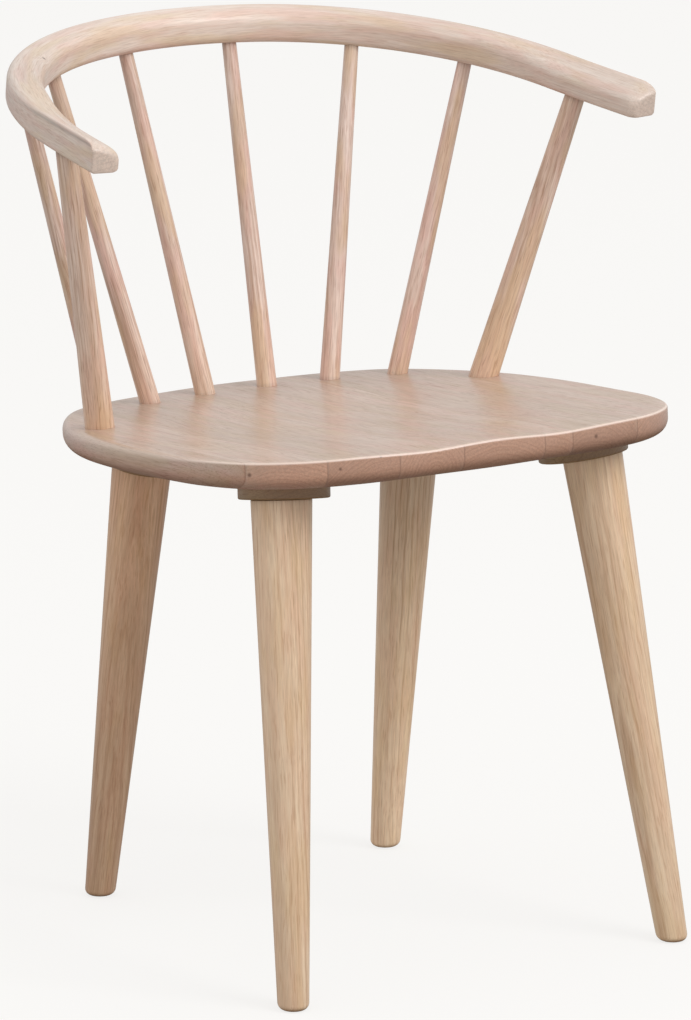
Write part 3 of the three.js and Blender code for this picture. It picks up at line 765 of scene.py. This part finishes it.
def paint_board(piece, low, high, light, warm, front_light):
    local = out_of_frame(seat_frame, places(piece.data))
    along = local[:, [0, 2, 1]]
    nearest = np.linalg.norm(local[:, None, :2] - edge[None], axis=2).argmin(1)
    local_arris = arris[nearest]
    inset = ((edge[nearest] - local[:, :2]) * outward[nearest]).sum(1)
    depth = -local[:, 2] - dish(local[:, 0], local[:, 1])
    # A pale line along the top arris, partly wear and partly a painted highlight.
    arris_line_height = fade(depth / local_arris - SEAT_ARRIS_LINE_AT, 1, SEAT_ARRIS_LINE_HEIGHT)
    arris_line_width = fade(inset / local_arris - SEAT_ARRIS_LINE_AT, 1, SEAT_ARRIS_LINE_WIDTH)
    wear_and_highlight = arris_line_height * arris_line_width * arris.min() / local_arris
    side = smoothstep(depth, SEAT_SIDE_FROM, SEAT_SIDE_TO)
    warm = warm * (1 - side) + SEAT_SIDE_WARMTH * side
    light = light + front_light * side + onset(depth, *SEAT_UNDER_SHADE)
    light = light + onset(local[:, 1], *SEAT_BACK_SHADE)
    seam = np.minimum(local[:, 0] - low, high - local[:, 0])
    offset = random.uniform(*BOARD_ORIGINS) - ((low + high) / 2, 0, 0)
    tilt = random.uniform(-GRAIN_TILT, GRAIN_TILT, 2)
    paint(piece, along, local, tones(len(local), light, warm, wear_and_highlight), seat_frame[:3, 1], offset, tilt, seam)


blank = seat_blank()
board_edges = [-SEAT_REACH, *BOARD_JOINTS, SEAT_REACH]
for index, (low, high) in enumerate(zip(board_edges, board_edges[1:])):
    name = f"seat_board_{index + 1}"
    piece = new_object(name + "_shaped", board_between(blank, name, low, high))
    near = (low - BOARD_MARGIN, high + BOARD_MARGIN)
    across = [(mesh, places(mesh)[:, 0]) for mesh in foot_cutters]
    cut(piece, [mesh.copy() for mesh, x in across if np.any((x > near[0]) & (x < near[1]))])
    smooth(piece.data)
    paint_board(piece, low, high, *BOARD_TONES[index])
    finished(piece, name, SEAT_WOOD)

# ---------------------------------------------------------------- arm bow

bow_frame = np.array(Matrix.Translation((0, 0, BOW_UNDERSIDE)) @ Matrix.Rotation(BOW_SLOPE, 4, "X"))
BENT_LENGTH = sum(length for _, length in BOW_BENDS)
HALF_BOW = BENT_LENGTH + ARM_LENGTH


def arm_rise(x, y):
    return np.where(x < 0, ARM_RISE_LEFT, ARM_RISE_RIGHT) * ((BOW_BACK_Y - y) / ARM_RISE_OVER) ** 2


def arm_share(reach):
    """How far the section has turned from the bow's into the arm's, at a distance from the middle."""
    return smoothstep(reach, BENT_LENGTH - ARM_BEFORE, BENT_LENGTH + ARM_AFTER)


def bow_centre(distance):
    """The centre line in the bow's own sloping plane, and the direction that faces out."""
    side = -1 if distance < 0 else 1
    x, y, heading, left = 0.0, BOW_BACK_Y, 0.0, abs(distance)
    for radius, length in BOW_BENDS:
        turned = heading + min(left, length) / radius
        x += radius * (math.sin(turned) - math.sin(heading))
        y += radius * (math.cos(turned) - math.cos(heading))
        heading, left = turned, max(left - length, 0)
    x, y = side * (x + left * math.cos(heading)), y - left * math.sin(heading)
    return np.array([x, y, arm_rise(x, y)]), np.array([side * math.sin(heading), math.cos(heading), 0.0])


def rounding(distance, radius):
    """How far a face has drawn in at this distance along the bow, for a round of that radius at its end."""
    into = np.clip((distance - (HALF_BOW - radius)) / radius, 0, 1)
    return radius * (1 - math.sqrt(1 - into**2))


def arc(x, z, radius, start, stop, steps=10):
    turns = np.linspace(start, stop, steps + 1)
    return [(x + radius * math.cos(t), z + radius * math.sin(t)) for t in turns]


def section_points(outer, inner, bottom, top, size):
    """The section as (outward, up) pairs: four rounded corners and a crowned top that may fall inwards."""
    lower, round_out, round_in, fall = size["lower"], size["top_outer"], size["top_inner"], size["fall"]
    flat, more = outer - inner - round_out - round_in, round_in - round_out
    slant = math.hypot(flat, fall + more)
    lean = QUARTER_TURN + math.acos(more / slant) - math.atan2(flat, fall + more)
    pairs = arc(outer - lower, bottom + lower, lower, -QUARTER_TURN, 0)
    pairs += [(outer, top - round_out - drop) for drop in SIDE_DROPS]
    pairs += arc(outer - round_out, top - round_out, round_out, 0, lean)
    inwards = arc(inner + round_in, top - fall - round_in, round_in, lean, 2 * QUARTER_TURN)
    start, stop = np.array(pairs[-1]), np.array(inwards[0])
    for share in CROWN_SHARES:
        pairs.append(tuple(start + (stop - start) * share + (0, 4 * CROWN * share * (1 - share))))
    return pairs + inwards + arc(inner + lower, bottom + lower, lower, 2 * QUARTER_TURN, 3 * QUARTER_TURN)


def bow_ring(distance):
    reach = abs(distance)
    arm = arm_share(reach)
    size = {key: BOW_SECTION[key] + (ARM_SECTION[key] - BOW_SECTION[key]) * arm for key in BOW_SECTION}
    into = np.clip((reach - (HALF_BOW - BOW_END_REACH)) / BOW_END_REACH, 0, 1)
    outer = size["width"] / 2 - rounding(reach, BOW_END_OUTER)
    inner = -size["width"] / 2 + rounding(reach, BOW_END_INNER)
    bottom = rounding(reach, BOW_END_LOWER)
    roll = 1 - math.sqrt(1 - into**2)
    top = size["height"] - CROWN - BOW_END_DROP * roll
    size["fall"] *= 1 - BOW_END_LEVELLING * roll
    size["lower"] = min(size["lower"], (outer - inner) / BOW_END_LEAST_WIDTH)
    size["top_inner"] = min(size["top_inner"], top - size["fall"] - bottom - size["lower"])
    pairs = section_points(outer, inner, bottom, top, size)
    centre, out = bow_centre(distance)
    ring = centre + np.outer([p[0] for p in pairs], out) + np.outer([p[1] for p in pairs], (0, 0, 1))
    return in_frame(bow_frame, ring)


def bow_stops():
    """The rings' distances along the bow, closer together round its ends."""
    end = HALF_BOW - BOW_END_REACH * (1 - np.sin(np.linspace(0, QUARTER_TURN, BOW_END_STEPS)))
    middle = np.linspace(-end[0], end[0], BOW_MIDDLE_STEPS)[1:-1]
    return [*(-end[::-1]), *middle, *end]


def paint_bow(bow):
    """Lays the grain along the bow's own curve."""
    local = out_of_frame(bow_frame, places(bow.data))
    line = np.linspace(-HALF_BOW, HALF_BOW, BOW_LINE_STEPS)
    centres = [bow_centre(distance) for distance in line]
    spots = np.array([centre[:2] for centre, _ in centres])
    out = np.array([direction[:2] for _, direction in centres])
    forward = np.stack([out[:, 1], -out[:, 0]], 1)
    batches = np.array_split(local[:, None, :2], BOW_BATCHES)
    nearest = np.concatenate([np.linalg.norm(batch - spots, axis=2).argmin(1) for batch in batches])
    off_line = local[:, :2] - spots[nearest]
    across = (off_line * out[nearest]).sum(1)
    distance = line[nearest] + (off_line * forward[nearest]).sum(1)
    height = local[:, 2] - arm_rise(local[:, 0], local[:, 1])
    along = np.stack([across, height, distance], 1)

    arm = arm_share(np.abs(distance))
    beside, below = across - ARM_SECTION["width"] / 2, height - ARM_SECTION["height"]
    # A pale line along the arm's crease, partly wear and partly a painted highlight.
    wear_and_highlight = fade(np.hypot(beside + BOW_ARRIS_LINE_INSET, below + BOW_ARRIS_LINE_DROP), 1, BOW_ARRIS_LINE_REACH) * arm
    outer_side = smoothstep(beside, -BOW_SIDE_FROM, -BOW_SIDE_TO) * arm
    # Painted shade under the arm's arris and painted light on its outer side, painted light at the bow's
    # middle, and painted shade towards its right arm and on its left shoulder.
    light = (BOW_SIDE_LIGHT + fade(below + BOW_ARRIS_SHADE_DROP, *BOW_ARRIS_SHADE)) * outer_side
    light = light + fade(distance, *BOW_MIDDLE_LIGHT) + onset(distance, *BOW_RIGHT_SHADE)
    light = light + fade(distance - BOW_LEFT_SHADE_AT, *BOW_LEFT_SHADE)
    fibre = np.pad(forward[nearest], ((0, 0), (0, 1))) @ bow_frame[:3, :3].T
    tone = tones(len(along), light, wear_and_highlight=wear_and_highlight)
    paint(bow, along, along, tone, fibre, BOW_GRAIN_OFFSET, BOW_GRAIN_TILT)


bow = new_object("arm_bow_shaped", loft("arm_bow", [bow_ring(distance) for distance in bow_stops()]))
cut(bow, head_cutters)
smooth(bow.data)
paint_bow(bow)
finished(bow, "arm_bow", BOW_WOOD)

# ---------------------------------------------------------------- legs


def leg_axis(name):
    """The middle of a leg's foot and of its top, and its direction, which is its bolt's."""
    points = node_points("leg_" + name)
    axis = stick_axis("hanger_bolt_" + name)[1]
    foot = points[points[:, 2] < ON_FACE].mean(0)
    return foot, foot + axis * ((points - foot) @ axis).max(), axis


def level(rings, axis, heights):
    """Slides each ring's points along the axis onto a level plane."""
    return [ring + np.outer((z - ring[:, 2]) / axis[2], axis) for ring, z in zip(rings, heights)]


def leg_rings(name, foot, axis, length):
    """A tapered leg from its foot's level sole to its top, and back down the bolt's bore."""
    points = node_points("leg_" + name)
    wide = radius_near(points, foot, axis, length - LEG_TOP_SIDE, length + 1)
    narrow = radius_near(points, foot, axis, *FOOT_SIDE) - FOOT_INSET
    taper = (wide - narrow) / length
    turns = np.linspace(0, QUARTER_TURN, FOOT_STEPS)
    heights = [FOOT_ROUND * (1 - math.cos(t)) for t in turns]
    insets = [FOOT_ROUND * (1 - math.sin(t)) for t in turns]
    rounded = [(narrow + taper * z - inset, z / axis[2]) for z, inset in zip(heights, insets)]
    stops = [*np.linspace(SHAFT_FROM, length - SHAFT_TO, SHAFT_STEPS)]
    stops += [length - gap for gap in SHAFT_STOPS]
    profile = [(narrow + taper * z, z) for z in stops]
    profile += [(wide - inset, length - depth) for inset, depth in quarter(LEG_TOP_ROUND, LEG_TOP_STEPS)[1:]]
    profile += [(BORE_RADIUS, length), (BORE_RADIUS, length - BORE_DEPTH)]
    sole = level(turned_rings(foot, axis, rounded, LEG_SIDES), axis, heights)
    return sole + turned_rings(foot, axis, profile, LEG_SIDES)


def make_leg(name):
    foot, top, axis = leg_axis(name)
    length = np.linalg.norm(top - foot)
    piece = new_object(f"leg_{name}_turned", loft("leg", leg_rings(name, foot, axis, length)))
    smooth(piece.data)
    local = places(piece.data) - foot
    u, v = square_to(axis)
    along = np.stack([local @ u, local @ v, local @ axis], 1)
    foot_light, top_light, warm = LEG_TONES[name]
    # Painted light and shade along the leg, then painted shade under the block and at the sole.
    light = foot_light + (top_light - foot_light) * (along[:, 2] / length) ** 2
    top_gap = np.clip(length - along[:, 2], 0, None)
    light = light + fade(top_gap, *LEG_TOP_SHADE) + fade(local[:, 2], *LEG_FOOT_SHADE)
    offset = random.uniform(*LEG_ORIGINS)
    offset[:2] = LEG_HEARTS.get(name, offset[:2])
    tone = tones(len(local), light, warm)
    paint(piece, along, along, tone, axis, offset, LEG_TILTS.get(name, LEG_TILT))
    finished(piece, "leg_" + name, LEG_WOOD)


# ---------------------------------------------------------------- the legs' blocks


def block_rim(block, top, axis):
    """The middle and the radius of a block's lower face."""
    points = node_points(block)
    along = (points - top) @ axis
    rim = points[(along < along.min() + BLOCK_RIM_DEPTH) & (off_axis(points - top, axis) > BLOCK_RIM_INNER)]
    centre = rim.mean(0)
    centre -= axis * ((centre - top) @ axis - along.min())
    return centre, off_axis(rim - centre, axis).max()


def block_cutters(name, top, axis):
    """The bore for the threaded insert and the countersunk holes for the two screws."""
    bore = [(INSERT_RADIUS, CUTTER_START), (INSERT_RADIUS, INSERT_DEPTH)]
    recess = [
        (SCREW_HEAD_RADIUS, CUTTER_START), (SCREW_HEAD_RADIUS, 0),
        (SCREW_RADIUS, SCREW_HEAD_DEPTH), (SCREW_RADIUS, SCREW_REACH),
    ]
    cutters = [loft("bore", turned_rings(top, axis, bore, INSERT_SIDES))]
    for number in (1, 2):
        screw = node_points(f"block_screw_{name}_{number}")
        rise = (screw - top) @ axis
        spot = screw[rise < rise.min() + ON_FACE].mean(0)
        cutters.append(loft("recess", turned_rings(spot, axis, recess, SCREW_SIDES)))
    return cutters


def make_block(name):
    """A round block square to its leg, cut off along the seat's underside."""
    block = "leg_block_" + name
    _, top, axis = leg_axis(name)
    centre, radius = block_rim(block, top, axis)
    profile = [(radius - inset, depth) for inset, depth in quarter(BLOCK_ROUND, BLOCK_STEPS)][::-1]
    profile += [(radius, height) for height in BLOCK_STOPS]
    piece = new_object(block + "_turned", loft(block, turned_rings(centre, axis, profile, LEG_SIDES)))
    shape = bmesh.new()
    shape.from_mesh(piece.data)
    underside = in_frame(seat_frame, np.array([[0.0, 0.0, -SEAT_THICKNESS - BLOCK_CLEARANCE]]))[0]
    slice_off(shape, underside * MM, seat_frame[:3, 2])
    bmesh.ops.recalc_face_normals(shape, faces=shape.faces[:])
    shape.to_mesh(piece.data)
    shape.free()
    cut(piece, block_cutters(name, top, axis))
    smooth(piece.data)

    local = places(piece.data) - centre
    u, v = square_to(axis)
    side, rise, fore = local @ u, local @ axis, local @ v
    along = np.stack([side, rise, fore], 1)
    rim_shade = fade(np.hypot(side, fore) - radius, BLOCK_RIM_SHADE, BLOCK_RIM_WIDTH)
    light = rim_shade * fade(rise, 1, BLOCK_RIM_HEIGHT)
    warm = max(LEG_TONES[name][2], BLOCK_LEAST_WARMTH)
    offset = random.uniform(*BLOCK_ORIGINS)
    paint(piece, along, along, tones(len(local), light, warm), v, offset, BLOCK_TILT)
    finished(piece, block, BLOCK_WOOD)


for name in LEG_TONES:
    make_leg(name)
    make_block(name)

# ---------------------------------------------------------------- the fixings keep their CAD shapes

for name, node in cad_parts.items():
    if name.startswith(("hanger_bolt", "threaded_insert", "block_screw")):
        node.data.materials.clear()
        node.data.materials.append(STEEL)
        smooth(node.data, FIXING_ANGLE)

# ---------------------------------------------------------------- floor, light and camera, in metres

FLOOR_REACH, FLOOR_DROP, FLOOR_ROUGHNESS = 30, 0.0003, 0.9
FLOOR_COLOUR, FLOOR_GLOW, FLOOR_GLOW_STRENGTH = (0.16, 0.158, 0.155, 1), (1.0, 0.992, 0.976, 1), 0.80
SKY_COLOUR = (1.0, 0.99, 0.98, 1)
SKY_RAMP = {"From Min": -0.35, "From Max": 0.5, "To Min": 0.42, "To Max": 0.84}
LIGHT_TARGET = Vector((0, 0, 0.4))
KEY_LIGHT = {"place": (1.4, -2.8, 3.15), "size": 1.8, "power": 64}
FILL_LIGHT = {"place": (-3.0, -1.8, 2.4), "size": 2.4, "power": 4}
AZIMUTH, ELEVATION, DISTANCE = math.radians(-32.53), math.radians(13.05), 6.8157
TARGET = Vector((0.0284, 0.0132, 0.3501))
LENS, SENSOR, CLIP_END = 275.9, 36, 100


def studio_floor():
    mesh = bpy.data.meshes.new("floor")
    corners = [(-1, -1), (1, -1), (1, 1), (-1, 1)]
    mesh.from_pydata([(x * FLOOR_REACH, y * FLOOR_REACH, 0) for x, y in corners], [], [(0, 1, 2, 3)])
    floor = new_object("floor", mesh)
    floor.location.z = -FLOOR_DROP
    floor.visible_diffuse = False
    floor.visible_glossy = False
    t = Tree("pale_floor")
    t.shader.inputs["Base Color"].default_value = FLOOR_COLOUR
    t.shader.inputs["Roughness"].default_value = FLOOR_ROUGHNESS
    t.shader.inputs["Specular IOR Level"].default_value = 0.0
    t.shader.inputs["Emission Color"].default_value = FLOOR_GLOW
    t.shader.inputs["Emission Strength"].default_value = FLOOR_GLOW_STRENGTH
    mesh.materials.append(t.material)
    floor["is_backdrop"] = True


def studio_world():
    """Soft light all round, brightest overhead and dimmest from below."""
    world = bpy.data.worlds.new("studio")
    world.use_nodes = True
    nodes, links = world.node_tree.nodes, world.node_tree.links
    spots, split = nodes.new("ShaderNodeTexCoord"), nodes.new("ShaderNodeSeparateXYZ")
    ramp = nodes.new("ShaderNodeMapRange")
    for key, value in SKY_RAMP.items():
        ramp.inputs[key].default_value = value
    links.new(spots.outputs["Generated"], split.inputs[0])
    links.new(split.outputs[2], ramp.inputs["Value"])
    links.new(ramp.outputs["Result"], nodes["Background"].inputs["Strength"])
    nodes["Background"].inputs["Color"].default_value = SKY_COLOUR
    bpy.context.scene.world = world


def soft_box(name, place, size, power):
    light = bpy.data.lights.new(name, "AREA")
    light.shape, light.size, light.energy = "SQUARE", size, power
    lamp = new_object(name, light)
    lamp.location = place
    lamp.rotation_euler = (LIGHT_TARGET - Vector(place)).to_track_quat("-Z", "Y").to_euler()


def studio_camera():
    data = bpy.data.cameras.new("camera")
    data.lens, data.sensor_width, data.sensor_fit, data.clip_end = LENS, SENSOR, "AUTO", CLIP_END
    camera = new_object("camera", data)
    back = Vector((
        math.sin(AZIMUTH) * math.cos(ELEVATION),
        -math.cos(AZIMUTH) * math.cos(ELEVATION),
        math.sin(ELEVATION),
    ))
    camera.location = TARGET + back * DISTANCE
    camera.rotation_euler = (-back).to_track_quat("-Z", "Y").to_euler()
    bpy.context.scene.camera = camera
    bpy.context.scene.view_settings.view_transform = "Standard"


studio_floor()
studio_world()
soft_box("key", **KEY_LIGHT)
soft_box("fill", **FILL_LIGHT)
studio_camera()

low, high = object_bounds()
